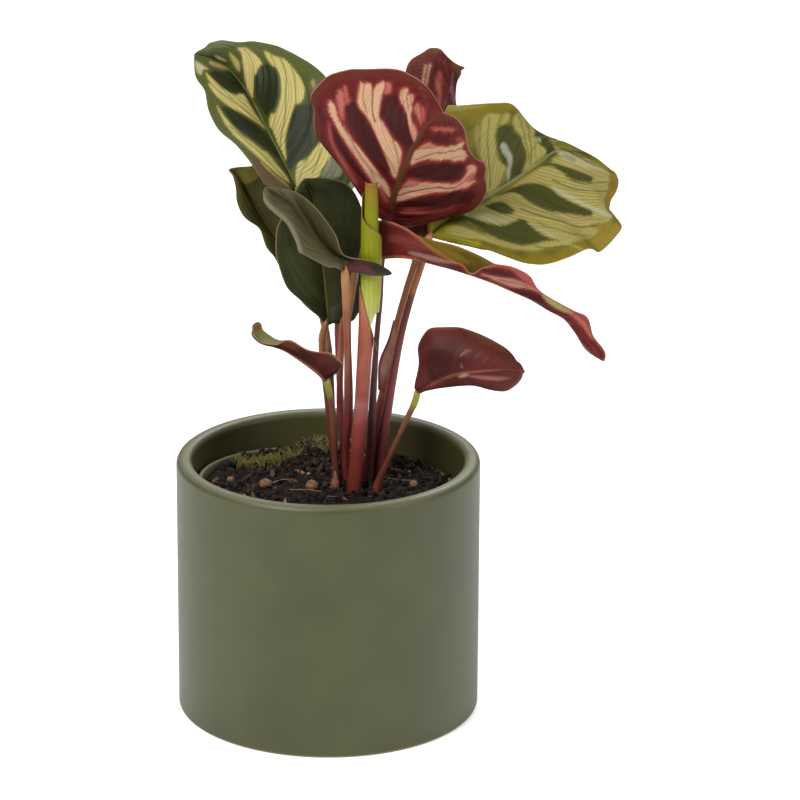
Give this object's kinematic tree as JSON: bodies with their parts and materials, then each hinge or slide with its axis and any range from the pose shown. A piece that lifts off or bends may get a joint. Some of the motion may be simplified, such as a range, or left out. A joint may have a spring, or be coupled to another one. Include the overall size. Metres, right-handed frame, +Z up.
{
  "type": "potted prayer plant",
  "caption": "Prayer plant with striped oval leaves, maroon undersides and slim red stems, in a thin nursery pot inside a straight-sided olive glazed pot.",
  "frame": {"origin": "centre of the pot's flat underside", "axes": "+Z up, along the plant's height; -Y towards the front of the plant, +X to its right seen from the front"},
  "size_m": [0.19, 0.1309, 0.2876],
  "materials": {
    "glaze": "satin",
    "liner": "matte",
    "soil": "matte",
    "stone": "matte",
    "leaf_marked": "satin",
    "leaf_maroon": "satin",
    "leaf_mauve": "satin",
    "leaf_dark": "satin",
    "leaf_young": "satin",
    "stem_red": "satin",
    "stem_brown": "satin",
    "stem_orange": "satin",
    "sheath_pink": "satin"
  },
  "bodies": {
    "root": {"pot": "glaze", "nursery_pot": "liner", "potting_soil": "soil", "pebble_1": "stone", "pebble_2": "stone", "pebble_3": "stone", "pebble_4": "stone", "pebble_5": "stone", "blade_back_left": "leaf_marked", "stem_back_left": "stem_orange", "blade_centre": "leaf_maroon", "stem_centre": "stem_brown", "blade_back_centre": "leaf_maroon", "stem_back_centre": "stem_brown", "blade_right": "leaf_marked", "stem_right": "stem_orange", "blade_drooping": "leaf_mauve", "stem_drooping": "stem_orange", "blade_dark_oval": "leaf_dark", "stem_dark_oval": "stem_brown", "blade_folded": "leaf_dark", "stem_folded": "stem_brown", "blade_far_left": "leaf_dark", "stem_far_left": "stem_brown", "blade_low_left": "leaf_mauve", "stem_low_left": "stem_brown", "blade_low_right": "leaf_mauve", "stem_low_right": "stem_brown", "blade_rolled": "leaf_young", "stem_rolled": "stem_red", "sheath_wing": "sheath_pink", "basal_bud": "stem_red"}
  },
  "joints": []
}
